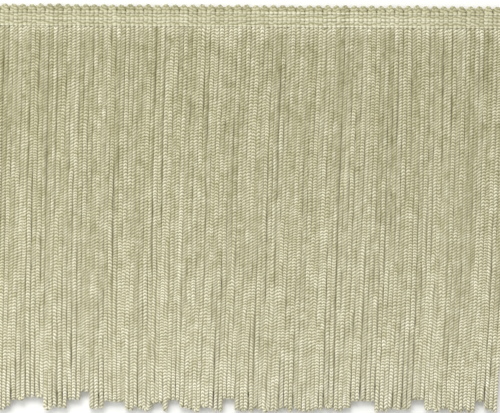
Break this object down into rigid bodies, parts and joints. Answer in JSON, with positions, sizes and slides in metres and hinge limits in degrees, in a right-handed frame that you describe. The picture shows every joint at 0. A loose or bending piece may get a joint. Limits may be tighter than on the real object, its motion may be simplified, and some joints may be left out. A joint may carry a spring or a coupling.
{
  "type": "chainette fringe trim",
  "caption": "Cut length of looped chainette fringe on a knitted heading with a picot edge, lying flat on its back.",
  "frame": {"origin": "middle of the heading's flat back, on the surface that the trim lies on", "axes": "+X along the heading, +Y from the loops to the picots, +Z out of the surface"},
  "size_m": [0.1958, 0.1524, 0.0031],
  "materials": {
    "heading_yarn": "soft lustre, knitted rayon",
    "chainette_yarn": "soft lustre, chained rayon cord"
  },
  "bodies": {
    "root": {"heading": "heading_yarn", "fringe_front": "chainette_yarn", "fringe_back": "chainette_yarn"}
  },
  "joints": []
}
